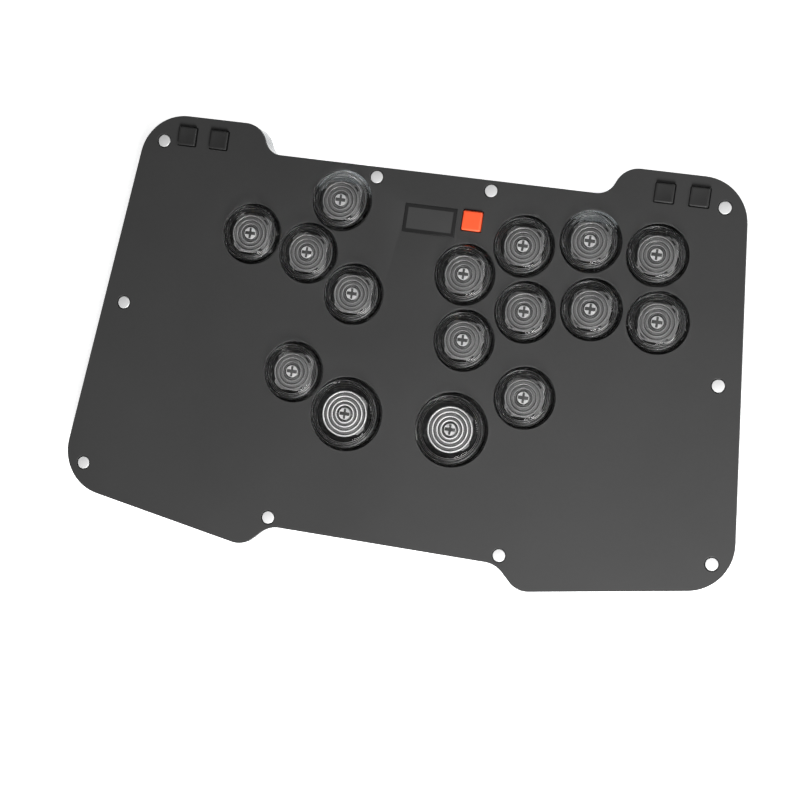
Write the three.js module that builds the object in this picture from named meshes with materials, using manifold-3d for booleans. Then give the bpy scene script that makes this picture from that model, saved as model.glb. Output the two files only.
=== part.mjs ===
// All-button arcade controller panel: a stepped metal plate on a clear frame, sixteen round push
// buttons on low-profile key switches, five square function keys and a small display.
// Millimetres. +X is the player's right, +Y points away from the player, +Z is up.
// The origin is on the table, under the middle of the panel.
import * as THREE from 'three';
import { mergeVertices } from 'three/addons/utils/BufferGeometryUtils.js';
import Module from 'manifold-3d';

const wasm = await Module();
wasm.setup();

// ---- Driving dimensions --------------------------------------------------------------------------

// Heights of the layers above the table.
const FOOT_HEIGHT = 2.0;
const BOTTOM_THICKNESS = 2.0;
const FRAME_HEIGHT = 7.5;
const PLATE_THICKNESS = 1.5;
const LEDGE_HEIGHT = 1.0;
const PCB_THICKNESS = 1.6;

const bottomTop = FOOT_HEIGHT + BOTTOM_THICKNESS;
const plateUnder = bottomTop + FRAME_HEIGHT;
const plateTop = plateUnder + PLATE_THICKNESS;
const pcbUnder = bottomTop + LEDGE_HEIGHT;
const pcbTop = pcbUnder + PCB_THICKNESS;

// Right half of the plate's outline, from the rear middle round to the front middle: x, y, radius.
const OUTLINE = [
  [69.4, 72.5, 7.4],
  [73.8, 83.75, 9.5],
  [121.7, 83.75, 18.2],
  [138.4, -70.3, 18.4],
  [56.2, -84.41, 9.35],
  [46.5, -75.0, 10.2],
];
// Right half of the hollow in the frame, in the same order.
const HOLLOW = [
  [80.0, 62.5, 1.5],
  [82.0, 80.5, 2.0],
  [108.8, 80.5, 2.0],
  [122.3, -50.0, 4.0],
  [112.0, -64.5, 4.0],
];
const LEDGE_WIDTH = 2.5;
const PCB_GAP = 0.6;

// Round buttons: x, y of each centre.
const SMALL_BUTTONS = [
  [-35.9, 57.5], [-71.1, 39.8], [-46.6, 35.1], [-25.7, 21.3], [-45.5, -12.5],
  [17.8, 34.7], [39.5, 48.5], [65.15, 53.6], [91.35, 51.6],
  [21.3, 9.15], [43.65, 23.3], [69.15, 27.7], [95.25, 26.1], [48.35, -9.7],
];
const LARGE_BUTTONS = [[-21.5, -26.05], [21.5, -26.05]];
const SMALL_HOLE_RADIUS = 12.2;
const LARGE_HOLE_RADIUS = 14.7;
const CAP_GAP = 0.8;          // from the hole's edge to the cap's skirt
const CAP_WALL = 1.2;
const CAP_TOP_THICKNESS = 1.2;
const CAP_RISE = 3.6;         // the cap's top above the plate
const CAP_HEIGHT = 6.1;       // from the skirt's foot to the top
const CAP_SHOULDER = 0.7;     // the step of its rounded edge
const BUTTON_TRAVEL = 3.0;    // how far a button can be pressed
const RELIEF_GAP = 0.6;       // round a cap where it passes the frame

// Low-profile key switch.
const SWITCH_WIDTH = 15.0;
const SWITCH_HEIGHT = 5.0;
const SWITCH_CHAMFER = 2.0;   // across each corner, to clear the cap's skirt
const SWITCH_BORE_RADIUS = 3.1;
const SWITCH_FLOOR = 0.4;
const STEM_RADIUS = 2.75;
const STEM_END_GAP = 0.2;     // above the bore's floor, when pressed

// Function keys: x, y of each centre. The last is the orange one beside the display.
const BLACK_KEYS = [[-104.2, 75.5], [-90.7, 75.5], [90.7, 75.5], [104.2, 75.5]];
const ORANGE_KEY = [17.6, 55.8];
const BLACK_KEY_WIDTH = 7.5;
const ORANGE_KEY_WIDTH = 7.7;
const BLACK_KEY_RISE = 1.3;
const ORANGE_KEY_RISE = 0.9;
const KEY_CORNER = 0.6;
const KEY_GAP = 0.3;
const KEY_FLANGE = 0.35;      // the flange's reach past the key
const FLANGE_THICKNESS = 1.0;
const FLANGE_GAP = 0.4;       // from the flange to the plate above it

// Display and its window in the plate.
const DISPLAY_CENTRE = [0.6, 54.1];
const WINDOW = [21.5, 11.6];
const WINDOW_GAP = 0.25;
const WINDOW_SINK = 0.1;      // the window's face below the plate's
const DISPLAY = [25.0, 15.4];
const DISPLAY_THICKNESS = 1.4;
const DISPLAY_TOP_GAP = 0.2;

// Standoffs round the edge: x, y on the right. Each has a twin on the left.
const STANDOFFS = [[23.3, 68.45], [114.15, 72.7], [121.4, 5.4], [128.75, -61.7], [47.4, -71.55]];
const STANDOFF_RADIUS = 2.8;
const SPIGOT_RADIUS = 2.45;
const SPIGOT_SINK = 0.2;      // its end below the plate's face
const SPIGOT_HOLE_RADIUS = 2.75;
const STANDOFF_HOLE_RADIUS = 3.1;
const SCREW_HOLE_RADIUS = 1.6;

// USB-C socket on the rear edge, seen in plan: it faces +Y.
const SOCKET_MOUTH_Y = 69.4;
const SOCKET = [8.94, 7.3, 3.2];
const SOCKET_WALL = 0.3;
const TONGUE = [6.7, 4.6, 0.7];
const PLUG_WAY = 13.4;
const PCB_TAB_REACH = 1.0;    // from the board's tab to the socket's mouth

const CHIP = [7.0, 7.0, 0.9];
const CHIP_CENTRE = [-7.0, 0.0];

const FEET = [[98.0, 60.0], [110.0, -50.0]];
const FOOT_RADIUS = 7.0;

// ---- Materials -----------------------------------------------------------------------------------

const finish = (color, roughness, metalness) =>
  new THREE.MeshStandardMaterial({ color, roughness, metalness });
const MATERIALS = {
  plate: finish(0x3f3f41, 0.55, 0.3),
  clear: finish(0xe6eaec, 0.1, 0.0),
  cap: finish(0x8a8d90, 0.08, 0.0),
  housing: finish(0x2a2b2d, 0.5, 0.0),
  blackKey: finish(0x161618, 0.5, 0.0),
  orangeKey: finish(0xff6237, 0.45, 0.0),
  steel: finish(0xd9dadc, 0.25, 1.0),
  window: finish(0x2e2e31, 0.2, 0.0),
  glass: finish(0x15161a, 0.1, 0.0),
  board: finish(0x14201a, 0.6, 0.0),
  chip: finish(0x101012, 0.5, 0.0),
  rubber: finish(0x1b1b1c, 0.9, 0.0),
};

const panel = new THREE.Group();

function place(name, geometry, material, x = 0, y = 0, z = 0) {
  const mesh = new THREE.Mesh(geometry, material);
  mesh.name = name;
  mesh.position.set(x, y, z);
  panel.add(mesh);
  return mesh;
}

// ---- Solids --------------------------------------------------------------------------------------

function toSolid(geometry) {
  const bare = geometry.clone();
  bare.deleteAttribute('normal');
  bare.deleteAttribute('uv');
  const merged = mergeVertices(bare, 1e-4);
  return new wasm.Manifold(new wasm.Mesh({
    numProp: 3,
    vertProperties: new Float32Array(merged.attributes.position.array),
    triVerts: new Uint32Array(merged.index.array),
  }));
}

function toGeometry(solid) {
  const mesh = solid.getMesh();
  const geometry = new THREE.BufferGeometry();
  geometry.setAttribute('position', new THREE.BufferAttribute(mesh.vertProperties, mesh.numProp));
  geometry.setIndex(new THREE.BufferAttribute(mesh.triVerts, 1));
  geometry.computeVertexNormals();
  return geometry;
}

// A closed outline of straight edges whose corners are arcs of the given radii.
function roundedOutline(corners, arcSteps = 6) {
  const points = [];
  corners.forEach(([x, y, radius], i) => {
    const corner = new THREE.Vector2(x, y);
    const [px, py] = corners[(i + corners.length - 1) % corners.length];
    const [nx, ny] = corners[(i + 1) % corners.length];
    const back = new THREE.Vector2(px, py).sub(corner).normalize();
    const ahead = new THREE.Vector2(nx, ny).sub(corner).normalize();
    const half = Math.acos(back.dot(ahead)) / 2;
    const centre = back.clone().add(ahead).normalize().multiplyScalar(radius / Math.sin(half)).add(corner);
    const reach = radius / Math.tan(half);
    const first = back.multiplyScalar(reach).add(corner).sub(centre).angle();
    const last = ahead.multiplyScalar(reach).add(corner).sub(centre).angle();
    const sweep = Math.atan2(Math.sin(last - first), Math.cos(last - first));
    for (let k = 0; k <= arcSteps; k += 1) {
      const angle = first + (sweep * k) / arcSteps;
      points.push(new THREE.Vector2(radius, 0).rotateAround(new THREE.Vector2(), angle).add(centre));
    }
  });
  return points;
}

// A right half, as listed above, with its mirror image.
const mirrored = (half) => [...half, ...half.map(([x, y, radius]) => [-x, y, radius]).reverse()];
const circle = ([x, y], radius, segments) => {
  const path = new THREE.Path();
  path.absarc(x, y, radius, 0, 2 * Math.PI, true);
  return new THREE.Path(path.getSpacedPoints(segments).slice(0, -1));
};
const rectangle = ([x, y], width, depth, corner = 0.01, arcSteps = 1) => roundedOutline([
  [x + width / 2, y + depth / 2, corner],
  [x + width / 2, y - depth / 2, corner],
  [x - width / 2, y - depth / 2, corner],
  [x - width / 2, y + depth / 2, corner],
], arcSteps);

// A flat plate. ExtrudeGeometry turns the holes the right way only if the outline runs anticlockwise.
function slab(outline, holes, thickness) {
  const shape = new THREE.Shape(THREE.ShapeUtils.isClockWise(outline) ? [...outline].reverse() : outline);
  shape.holes = holes;
  return new THREE.ExtrudeGeometry(shape, { depth: thickness, bevelEnabled: false });
}

const bothSides = STANDOFFS.flatMap(([x, y]) => [[-x, y], [x, y]]);
const outline = roundedOutline(mirrored(OUTLINE));
const keyCentres = [...BLACK_KEYS, ORANGE_KEY];
const blackSlot = BLACK_KEY_WIDTH + 2 * KEY_GAP;
const orangeSlot = ORANGE_KEY_WIDTH + 2 * KEY_GAP;

// ---- Top plate: sixteen button holes, five key slots, the window and the standoff holes ------------

const plateHoles = [
  ...SMALL_BUTTONS.map((at) => circle(at, SMALL_HOLE_RADIUS, 28)),
  ...LARGE_BUTTONS.map((at) => circle(at, LARGE_HOLE_RADIUS, 32)),
  ...bothSides.map((at) => circle(at, SPIGOT_HOLE_RADIUS, 12)),
  ...BLACK_KEYS.map((at) => new THREE.Path(rectangle(at, blackSlot, blackSlot, KEY_CORNER))),
  new THREE.Path(rectangle(ORANGE_KEY, orangeSlot, orangeSlot, KEY_CORNER)),
  new THREE.Path(rectangle(DISPLAY_CENTRE, ...WINDOW)),
];
place('top_plate', slab(outline, plateHoles, PLATE_THICKNESS), MATERIALS.plate, 0, 0, plateUnder);

// ---- Clear frame: a ring with a ledge for the board and a gap for the plug -------------------------

const standoffBores = () => bothSides.map((at) => circle(at, STANDOFF_HOLE_RADIUS, 12));
const ledge = [
  [HOLLOW[0][0] + LEDGE_WIDTH, HOLLOW[0][1] - LEDGE_WIDTH, 1.5],
  [HOLLOW[1][0] + LEDGE_WIDTH, HOLLOW[1][1] - LEDGE_WIDTH, 1.5],
  [HOLLOW[2][0] - LEDGE_WIDTH, HOLLOW[2][1] - LEDGE_WIDTH, 1.5],
  [HOLLOW[3][0] - LEDGE_WIDTH, HOLLOW[3][1], 4.0],
  [HOLLOW[4][0] - LEDGE_WIDTH, HOLLOW[4][1] + LEDGE_WIDTH, 4.0],
];
const ring = toSolid(slab(outline, standoffBores(), FRAME_HEIGHT));
const upperHollow = toSolid(
  slab(roundedOutline(mirrored(HOLLOW), 3), [], FRAME_HEIGHT).translate(0, 0, LEDGE_HEIGHT),
);
const lowerHollow = toSolid(
  slab(roundedOutline(mirrored(ledge), 3), [], 2 * FRAME_HEIGHT).translate(0, 0, -FRAME_HEIGHT),
);
const hollowRear = HOLLOW[0][1];
const skirtRadius = SMALL_HOLE_RADIUS - CAP_GAP;
const reliefs = SMALL_BUTTONS
  .filter(([, y]) => y + skirtRadius > hollowRear)
  .map(([x, y]) => toSolid(
    new THREE.CylinderGeometry(skirtRadius + RELIEF_GAP, skirtRadius + RELIEF_GAP, FRAME_HEIGHT, 32)
      .rotateX(Math.PI / 2).translate(x, y, LEDGE_HEIGHT + FRAME_HEIGHT / 2),
  ));
const plugGap = toSolid(
  new THREE.BoxGeometry(PLUG_WAY, 30, 3 * FRAME_HEIGHT).translate(0, hollowRear + 10, 0),
);
const frameSolid = [upperHollow, lowerHollow, plugGap, ...reliefs]
  .reduce((solid, cutter) => solid.subtract(cutter), ring);
place('body_frame', toGeometry(frameSolid), MATERIALS.clear, 0, 0, bottomTop);

// ---- Bottom plate, with the screw holes under the standoffs ----------------------------------------

const screwHoles = bothSides.map((at) => circle(at, SCREW_HOLE_RADIUS, 10));
place('bottom_plate', slab(outline, screwHoles, BOTTOM_THICKNESS), MATERIALS.clear, 0, 0, FOOT_HEIGHT);

// ---- Circuit board, its chip and its socket --------------------------------------------------------

// The board follows the hollow. It has a tab under the button nearest the rear edge, and one
// under the socket.
const [tabX, tabY] = SMALL_BUTTONS[0];
const tabHalf = SWITCH_WIDTH / 2 + 0.5;
const boardRear = hollowRear - PCB_GAP;
const socketTab = SOCKET[0] / 2 + 0.8;
const socketTabRear = SOCKET_MOUTH_Y - PCB_TAB_REACH;
const boardRight = [
  [HOLLOW[0][0] + PCB_GAP, boardRear],
  [HOLLOW[1][0] + PCB_GAP, HOLLOW[1][1] - PCB_GAP],
  [HOLLOW[2][0] - PCB_GAP, HOLLOW[2][1] - PCB_GAP],
  [HOLLOW[3][0] - PCB_GAP, HOLLOW[3][1]],
  [HOLLOW[4][0] - PCB_GAP, HOLLOW[4][1] + PCB_GAP],
];
const boardOutline = [
  [socketTab, socketTabRear], [socketTab, boardRear],
  ...boardRight,
  ...boardRight.map(([x, y]) => [-x, y]).reverse(),
  [tabX - tabHalf, boardRear], [tabX - tabHalf, tabY + tabHalf],
  [tabX + tabHalf, tabY + tabHalf], [tabX + tabHalf, boardRear],
  [-socketTab, boardRear], [-socketTab, socketTabRear],
].map(([x, y]) => new THREE.Vector2(x, y));
place('main_pcb', slab(boardOutline, [], PCB_THICKNESS), MATERIALS.board, 0, 0, pcbUnder);

place('processor_chip', new THREE.BoxGeometry(...CHIP), MATERIALS.chip,
  ...CHIP_CENTRE, pcbTop + CHIP[2] / 2);

// The socket is a round-ended shell, closed at the back, with the contact tongue inside.
const [socketWidth, socketLength, socketHeight] = SOCKET;
const roundEnded = (width, height) => rectangle([0, 0], width, height, height / 2 - 0.01, 3);
const shellSolid = toSolid(slab(roundEnded(socketWidth, socketHeight), [], socketLength));
const mouth = toSolid(
  slab(roundEnded(socketWidth - 2 * SOCKET_WALL, socketHeight - 2 * SOCKET_WALL), [], socketLength)
    .translate(0, 0, 1.0),
);
const tongue = toSolid(
  new THREE.BoxGeometry(TONGUE[0], TONGUE[2], TONGUE[1] + 0.5).translate(0, 0, 0.75 + TONGUE[1] / 2),
);
const socketGeometry = toGeometry(shellSolid.subtract(mouth).add(tongue)).rotateX(-Math.PI / 2);
place('usb_c_socket', socketGeometry, MATERIALS.steel,
  0, SOCKET_MOUTH_Y - socketLength, pcbTop + socketHeight / 2);

// ---- Display and window ----------------------------------------------------------------------------

const displayTop = plateUnder - DISPLAY_TOP_GAP;
place('display_module', new THREE.BoxGeometry(...DISPLAY, DISPLAY_THICKNESS), MATERIALS.glass,
  ...DISPLAY_CENTRE, displayTop - DISPLAY_THICKNESS / 2);
const windowPane = rectangle([0, 0], WINDOW[0] - 2 * WINDOW_GAP, WINDOW[1] - 2 * WINDOW_GAP);
place('display_window', slab(windowPane, [], plateTop - WINDOW_SINK - displayTop), MATERIALS.window,
  ...DISPLAY_CENTRE, displayTop);

// ---- Buttons: a clear cap with its stem, and the switch housing it slides in ------------------------

const capFoot = plateTop + CAP_RISE - CAP_HEIGHT;

// The profile runs from the foot of the stem, round the skirt and over the top.
function capGeometry(holeRadius) {
  const outer = holeRadius - CAP_GAP;
  const inner = outer - CAP_WALL;
  const under = CAP_HEIGHT - CAP_TOP_THICKNESS;
  const stemFoot = pcbTop + SWITCH_FLOOR + STEM_END_GAP + BUTTON_TRAVEL - capFoot;
  const profile = [
    [0, stemFoot],
    [STEM_RADIUS, stemFoot],
    [STEM_RADIUS, under],
    [inner, under],
    [inner, 0],
    [outer, 0],
    [outer, CAP_HEIGHT - 2 * CAP_SHOULDER],
    [outer - 0.3 * CAP_SHOULDER, CAP_HEIGHT - 0.7 * CAP_SHOULDER],
    [outer - CAP_SHOULDER, CAP_HEIGHT],
    [0, CAP_HEIGHT],
  ];
  return new THREE.LatheGeometry(profile.map(([r, z]) => new THREE.Vector2(r, z)), 20).rotateX(Math.PI / 2);
}

const housingBlock = toSolid(
  slab(rectangle([0, 0], SWITCH_WIDTH, SWITCH_WIDTH, SWITCH_CHAMFER), [], SWITCH_HEIGHT),
);
const housingBore = toSolid(
  new THREE.CylinderGeometry(SWITCH_BORE_RADIUS, SWITCH_BORE_RADIUS, SWITCH_HEIGHT, 12)
    .rotateX(Math.PI / 2).translate(0, 0, SWITCH_FLOOR + SWITCH_HEIGHT / 2),
);
const housingGeometry = toGeometry(housingBlock.subtract(housingBore));

const buttonName = (kind, i) => `${kind}_${String(i + 1).padStart(2, '0')}`;
[...SMALL_BUTTONS, ...LARGE_BUTTONS].forEach(([x, y], i) => {
  const holeRadius = i < SMALL_BUTTONS.length ? SMALL_HOLE_RADIUS : LARGE_HOLE_RADIUS;
  place(buttonName('button_cap', i), capGeometry(holeRadius), MATERIALS.cap, x, y, capFoot);
  place(buttonName('switch_housing', i), housingGeometry.clone(), MATERIALS.housing, x, y, pcbTop);
});

// ---- Function keys: a square cap on a flange that the plate holds in --------------------------------

function keyGeometry(width, rise) {
  const flangeWidth = width + 2 * KEY_FLANGE + 2 * KEY_GAP;
  const flange = toSolid(
    slab(rectangle([0, 0], flangeWidth, flangeWidth, KEY_CORNER), [], FLANGE_THICKNESS),
  );
  const shaft = toSolid(
    slab(rectangle([0, 0], width, width, KEY_CORNER), [], FLANGE_GAP + PLATE_THICKNESS + rise + 0.5)
      .translate(0, 0, FLANGE_THICKNESS - 0.5),
  );
  return toGeometry(flange.add(shaft));
}

const keyFoot = plateUnder - FLANGE_GAP - FLANGE_THICKNESS;
keyCentres.forEach(([x, y], i) => {
  const orange = i === keyCentres.length - 1;
  const geometry = orange
    ? keyGeometry(ORANGE_KEY_WIDTH, ORANGE_KEY_RISE)
    : keyGeometry(BLACK_KEY_WIDTH, BLACK_KEY_RISE);
  place(orange ? 'menu_key' : buttonName('function_key', i), geometry,
    orange ? MATERIALS.orangeKey : MATERIALS.blackKey, x, y, keyFoot);
});

// ---- Standoffs: a shoulder under the plate and a spigot that fills its hole --------------------------

const standoffHeight = plateTop - SPIGOT_SINK - bottomTop;
const standoffProfile = [
  [0, 0],
  [STANDOFF_RADIUS, 0],
  [STANDOFF_RADIUS, FRAME_HEIGHT],
  [SPIGOT_RADIUS, FRAME_HEIGHT],
  [SPIGOT_RADIUS, standoffHeight],
  [0, standoffHeight],
].map(([r, z]) => new THREE.Vector2(r, z));
bothSides.forEach(([x, y], i) => {
  const geometry = new THREE.LatheGeometry(standoffProfile, 12).rotateX(Math.PI / 2);
  place(buttonName('standoff', i), geometry, MATERIALS.steel, x, y, bottomTop);
});

// ---- Rubber feet -------------------------------------------------------------------------------------

const footProfile = [
  [0, 0],
  [FOOT_RADIUS - 0.8, 0],
  [FOOT_RADIUS, 0.6],
  [FOOT_RADIUS, FOOT_HEIGHT],
  [0, FOOT_HEIGHT],
].map(([r, z]) => new THREE.Vector2(r, z));
FEET.flatMap(([x, y]) => [[-x, y], [x, y]]).forEach(([x, y], i) => {
  const geometry = new THREE.LatheGeometry(footProfile, 18).rotateX(Math.PI / 2);
  place(buttonName('foot', i), geometry, MATERIALS.rubber, x, y, 0);
});

export default panel;
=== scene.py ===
# %% [markdown]
# # An all-button arcade controller, piece by piece
#
# The real thing is a flat game controller without a lever: a dark metal plate on a clear acrylic
# frame, sixteen round clear push buttons on key switches, five small square keys and a little
# display. The engineering model gives every place and size, so this lesson loads it first, as a
# fixed frame, and then models what the eye sees around it: soft edges, clear plastic, fine grain.

# %% Load the frame
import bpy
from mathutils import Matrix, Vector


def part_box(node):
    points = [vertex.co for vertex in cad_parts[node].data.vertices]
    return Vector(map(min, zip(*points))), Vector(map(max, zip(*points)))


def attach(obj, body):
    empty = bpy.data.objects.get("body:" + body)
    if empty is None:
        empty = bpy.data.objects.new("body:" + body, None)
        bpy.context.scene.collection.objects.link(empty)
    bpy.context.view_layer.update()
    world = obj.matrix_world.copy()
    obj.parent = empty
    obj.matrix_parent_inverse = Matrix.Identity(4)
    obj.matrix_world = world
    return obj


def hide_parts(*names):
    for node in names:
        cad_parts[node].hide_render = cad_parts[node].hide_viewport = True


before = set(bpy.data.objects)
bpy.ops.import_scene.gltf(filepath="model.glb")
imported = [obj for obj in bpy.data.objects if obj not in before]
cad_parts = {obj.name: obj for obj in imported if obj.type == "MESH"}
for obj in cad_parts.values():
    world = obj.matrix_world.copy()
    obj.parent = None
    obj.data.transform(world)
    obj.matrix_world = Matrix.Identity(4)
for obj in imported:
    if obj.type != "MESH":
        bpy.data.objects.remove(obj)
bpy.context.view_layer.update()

# %% [markdown]
# ## Small tools for working by hand
#
# Everything below is modelled the way a person would do it at the screen: add a primitive, go
# into edit mode, select by place, extrude, spin, bevel. These few helpers keep each step to one
# line. Nothing may be left selected before a primitive is added, so that comes first.

# %% Selecting and editing
import math

import bmesh
import bpy
from mathutils import Matrix, Vector

MM = 0.001
MERGE = 0.001 * MM
SELECT_MODES = {"verts": "VERT", "edges": "EDGE", "faces": "FACE"}


def clear_selection():
    if bpy.context.mode != "OBJECT":
        bpy.ops.object.mode_set(mode="OBJECT")
    bpy.ops.object.select_all(action="DESELECT")


def focus(piece):
    clear_selection()
    piece.select_set(True)
    bpy.context.view_layer.objects.active = piece


def edit(piece):
    focus(piece)
    bpy.ops.object.mode_set(mode="EDIT")
    bpy.ops.mesh.select_all(action="DESELECT")


def pick(kind, test):
    """In edit mode, select the vertices, edges or faces that pass a test."""
    bpy.ops.mesh.select_all(action="DESELECT")
    bpy.ops.mesh.select_mode(type=SELECT_MODES[kind])
    mesh = bmesh.from_edit_mesh(bpy.context.object.data)
    for part in getattr(mesh, kind):
        part.select_set(test(part))
    bmesh.update_edit_mesh(bpy.context.object.data)


def added(name):
    """Name the primitive that was just added."""
    piece = bpy.context.object
    piece.name = piece.data.name = name
    return piece


# %% Finishing tools
def use_modifier(piece, kind, **settings):
    focus(piece)
    bpy.ops.object.modifier_add(type=kind)
    modifier = piece.modifiers[-1]
    for key, value in settings.items():
        setattr(modifier, key, value)
    bpy.ops.object.modifier_apply(modifier=modifier.name)


def soften_edges(piece, width, segments=2, angle=40):
    use_modifier(piece, "BEVEL", width=width * MM, segments=segments, limit_method="ANGLE",
                 angle_limit=math.radians(angle), use_clamp_overlap=True)


def settle(piece, angle=22):
    """Put the piece's place into its mesh and smooth what is round."""
    focus(piece)
    bpy.ops.object.transform_apply(location=True, rotation=True, scale=True)
    bpy.ops.object.shade_smooth_by_angle(angle=math.radians(angle))


def joined(pieces, name):
    clear_selection()
    for piece in pieces:
        piece.select_set(True)
    bpy.context.view_layer.objects.active = pieces[0]
    if len(pieces) > 1:
        bpy.ops.object.join()
    return added(name)


def cut(piece, cutters):
    """Take the cutters out of the piece, and throw them away."""
    tool = joined(cutters, "cutter")
    use_modifier(piece, "BOOLEAN", operation="DIFFERENCE", solver="EXACT", object=tool, use_self=True)
    bpy.data.objects.remove(tool)


def merge_in(piece, other):
    use_modifier(piece, "BOOLEAN", operation="UNION", solver="EXACT", object=other)
    bpy.data.objects.remove(other)


def two_finishes(piece, main, other, is_other):
    """Give the piece one finish, and a second one on the faces that pass a test."""
    piece.data.materials.append(main)
    piece.data.materials.append(other)
    for face in piece.data.polygons:
        if is_other(face):
            face.material_index = 1


# %% [markdown]
# ## Drawing outlines and turning round parts
#
# Two kinds of shape make nearly everything here: flat plates with rounded outlines, and turned
# parts. Both start as a chain of points. A corner is given with its radius and becomes an arc.
# The chain is drawn by extruding one point along it, then filled and raised, or spun.

# %% Chains, slabs and turned parts
def rounded(corners, closed=True, step=9.0):
    """The chain of points, in metres, with each corner (a, b, radius in mm) made an arc."""
    points, count = [], len(corners)
    for i, (a, b, radius) in enumerate(corners):
        corner = Vector((a, b))
        if radius == 0 or (not closed and i in (0, count - 1)):
            points.append(corner * MM)
            continue
        back = (Vector(corners[i - 1][:2]) - corner).normalized()
        ahead = (Vector(corners[(i + 1) % count][:2]) - corner).normalized()
        half = back.angle(ahead) / 2
        centre = corner + (back + ahead).normalized() * radius / math.sin(half)
        first = corner + back * radius / math.tan(half) - centre
        last = corner + ahead * radius / math.tan(half) - centre
        start = math.atan2(first.y, first.x)
        sweep = math.remainder(math.atan2(last.y, last.x) - start, 2 * math.pi)
        steps = max(2, math.ceil(math.degrees(abs(sweep)) / step))
        for k in range(steps + 1):
            turn = start + sweep * k / steps
            points.append((centre + Vector((math.cos(turn), math.sin(turn))) * radius) * MM)
    return points


def trace(name, points):
    """Draw a chain of edges by extruding a single point, which is a plane merged to its middle."""
    clear_selection()
    bpy.ops.mesh.primitive_plane_add(size=MM)
    piece = added(name)
    bpy.ops.object.mode_set(mode="EDIT")
    bpy.ops.mesh.select_mode(type="VERT")
    bpy.ops.mesh.select_all(action="SELECT")
    bpy.ops.mesh.merge(type="CENTER")
    bpy.ops.transform.translate(value=points[0])
    for here, there in zip(points, points[1:]):
        bpy.ops.mesh.extrude_region_move(TRANSFORM_OT_translate={"value": there - here})
    bpy.ops.mesh.select_all(action="SELECT")
    return piece


def slab(name, outline, low, high):
    """A flat plate between two heights in mm, from a closed outline in metres."""
    piece = trace(name, [Vector((p.x, p.y, low * MM)) for p in outline + outline[:1]])
    bpy.ops.mesh.remove_doubles(threshold=MERGE)
    bpy.ops.mesh.edge_face_add()
    bpy.ops.mesh.extrude_region_move(TRANSFORM_OT_translate={"value": (0, 0, (high - low) * MM)})
    bpy.ops.mesh.select_all(action="SELECT")
    bpy.ops.mesh.normals_make_consistent(inside=False)
    bpy.ops.object.mode_set(mode="OBJECT")
    return piece


def turned(name, profile, steps=64, ring=False):
    """A part turned about the Z axis, from corners (radius from the axis, height, rounding) in mm.
    A ring's profile closes on itself; any other starts and ends on the axis."""
    chain = rounded(profile, closed=ring, step=22)
    if ring:
        chain.append(chain[0])
    piece = trace(name, [Vector((p.x, 0, p.y)) for p in chain])
    bpy.ops.mesh.spin(steps=steps, angle=2 * math.pi, center=(0, 0, 0), axis=(0, 0, 1))
    bpy.ops.mesh.select_all(action="SELECT")
    bpy.ops.mesh.remove_doubles(threshold=MERGE)
    bpy.ops.mesh.normals_make_consistent(inside=False)
    bpy.ops.object.mode_set(mode="OBJECT")
    return piece


def rod(x, y, radius, low, high, sides=96):
    """A plain round cutter."""
    clear_selection()
    bpy.ops.mesh.primitive_cylinder_add(vertices=sides, radius=radius * MM, depth=(high - low) * MM,
                                        location=(x * MM, y * MM, (low + high) / 2 * MM))
    return added("rod")


def block(name, x, y, low, size):
    """A box of a size in mm that stands on a height."""
    clear_selection()
    bpy.ops.mesh.primitive_cube_add(size=1, location=(x * MM, y * MM, (low + size[2] / 2) * MM),
                                    scale=[s * MM for s in size])
    piece = added(name)
    bpy.ops.object.transform_apply(location=True, rotation=True, scale=True)
    return piece


def cross(low, tall, long, wide, thin):
    """Two bars over each other on the Z axis: one along X and `wide`, one along Y and `thin`."""
    return [block("bar", 0, 0, low, (long, wide, tall)), block("bar", 0, 0, low, (thin, long, tall))]


# %% [markdown]
# ## Copies that remember their own middle
#
# Sixteen buttons and ten standoffs are modelled once, at the origin, and copied to their places.
# Turning marks and other round patterns have to stay centred on each copy, but a copy's mesh
# holds its place in the whole panel. So each original first stores its coordinates in an
# attribute called own_place, which every copy keeps.

# %% Copying
def remember_place(piece):
    focus(piece)
    values = [c for vertex in piece.data.vertices for c in vertex.co]
    own = piece.data.attributes.new("own_place", "FLOAT_VECTOR", "POINT")
    own.data.foreach_set("vector", values)


def copy_to(original, name, x, y):
    """A copy with its own mesh, its place in its mesh. x and y are in metres."""
    focus(original)
    bpy.ops.object.duplicate_move(OBJECT_OT_duplicate={"linked": False},
                                  TRANSFORM_OT_translate={"value": (x, y, 0)})
    piece = added(name)
    bpy.ops.object.transform_apply(location=True, rotation=True, scale=True)
    return piece


def middle(node):
    low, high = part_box(node)
    return (low + high) / 2


def belong(piece, body, slot, *nodes):
    """The piece rides on a body, and stands for its nodes. The slot is not used."""
    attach(piece, body)
    if nodes:
        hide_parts(*nodes)


def place_copy(original, name, node, body, slot, *nodes):
    """A copy over the middle of a node, on a body."""
    belong(copy_to(original, name, *middle(node).xy), body, slot, *nodes)


def on_panel(piece, finish, slot, *nodes):
    """Settle a fixed piece with one finish, and put it on the panel."""
    settle(piece)
    piece.data.materials.append(finish)
    belong(piece, "panel", slot, *nodes)


# %% [markdown]
# ## The heights of the layers
#
# The stack is read from the frame: feet, clear base, clear frame, metal plate. All the pieces
# below are given in these millimetre heights, so the looks follow the engineering model.

# %% Heights from the frame
def height(node, corner):
    return round(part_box(node)[corner].z / MM, 3)


BASE_LOW, BASE_HIGH = height("bottom_plate", 0), height("bottom_plate", 1)
PLATE_LOW, PLATE_HIGH = height("top_plate", 0), height("top_plate", 1)
BOARD_LOW, BOARD_HIGH = height("main_pcb", 0), height("main_pcb", 1)
CAP_LOW, CAP_HIGH = 10.5, height("button_cap_01", 1)
print("plate top", PLATE_HIGH, "cap top", CAP_HIGH)

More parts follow.
